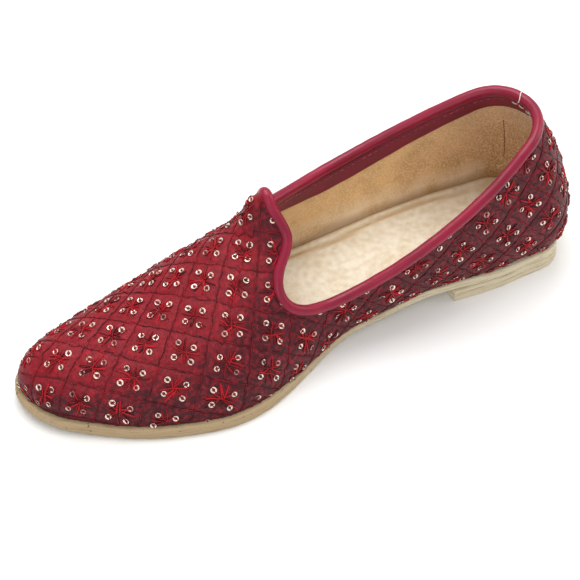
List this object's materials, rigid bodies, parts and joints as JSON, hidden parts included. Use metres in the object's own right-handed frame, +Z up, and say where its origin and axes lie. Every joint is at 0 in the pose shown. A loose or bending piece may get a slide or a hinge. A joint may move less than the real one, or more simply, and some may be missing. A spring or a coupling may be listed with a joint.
{
  "type": "mojari slip-on shoe",
  "caption": "Flat slip-on shoe with a hollow woven upper, a peaked throat, a rolled topline binding, a footbed and a thin sole on a low stacked heel.",
  "frame": {"origin": "on the floor, at the middle of the heel's flat bottom", "axes": "+X to the toe, +Y to the shoe's lateral side, +Z up"},
  "size_m": [0.2894, 0.0934, 0.0849],
  "materials": {
    "sole": "matt cream crepe sheet with cut edges",
    "upper_cloth": "shot crimson and maroon cloth, stitched and sequinned",
    "binding": "smooth raspberry leatherette, satin",
    "facing": "dark maroon leatherette, satin",
    "footbed": "ivory woven textile"
  },
  "bodies": {
    "root": {"outsole": "sole", "heel_lift_lower": "sole", "heel_lift_upper": "sole", "insole": "footbed", "upper": "upper_cloth", "topline_binding": "binding", "facing_lateral": "facing", "facing_medial": "facing"}
  },
  "joints": []
}
